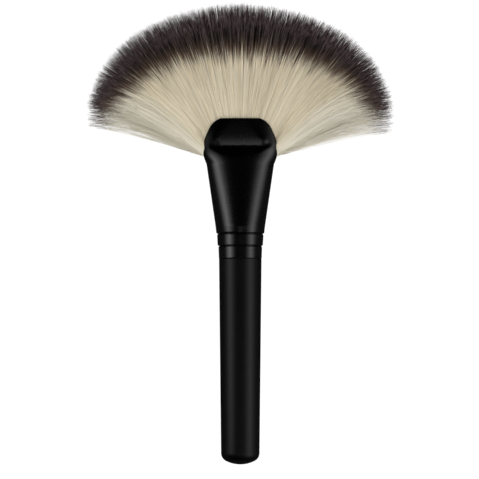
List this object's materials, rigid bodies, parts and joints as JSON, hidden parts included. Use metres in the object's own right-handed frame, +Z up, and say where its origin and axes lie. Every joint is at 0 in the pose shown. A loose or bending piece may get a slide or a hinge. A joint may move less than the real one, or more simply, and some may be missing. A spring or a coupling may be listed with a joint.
{
  "type": "fan makeup brush",
  "caption": "Large fan-shaped makeup brush: splayed cream hair with dark dyed ends, a flattened black ferrule with arched lips, and a turned black handle.",
  "frame": {"origin": "under the middle of the brush, on the surface that it lies on", "axes": "+X across the fan, +Y along the brush towards the hair's tips, +Z up through the fan's thickness; the brush's own axis lies in the YZ plane and dips towards the tips by about two degrees, as it comes to rest"},
  "size_m": [0.1156, 0.175, 0.0201],
  "materials": {
    "handle_lacquer": "satin",
    "ferrule_metal": "satin",
    "set_glue": "gloss",
    "cream_fibre": "matte",
    "dyed_fibre": "matte"
  },
  "bodies": {
    "root": {"handle": "handle_lacquer", "ferrule": "ferrule_metal", "glue_plug": "set_glue", "cream_hair": "cream_fibre", "dyed_tips": "dyed_fibre"}
  },
  "joints": []
}
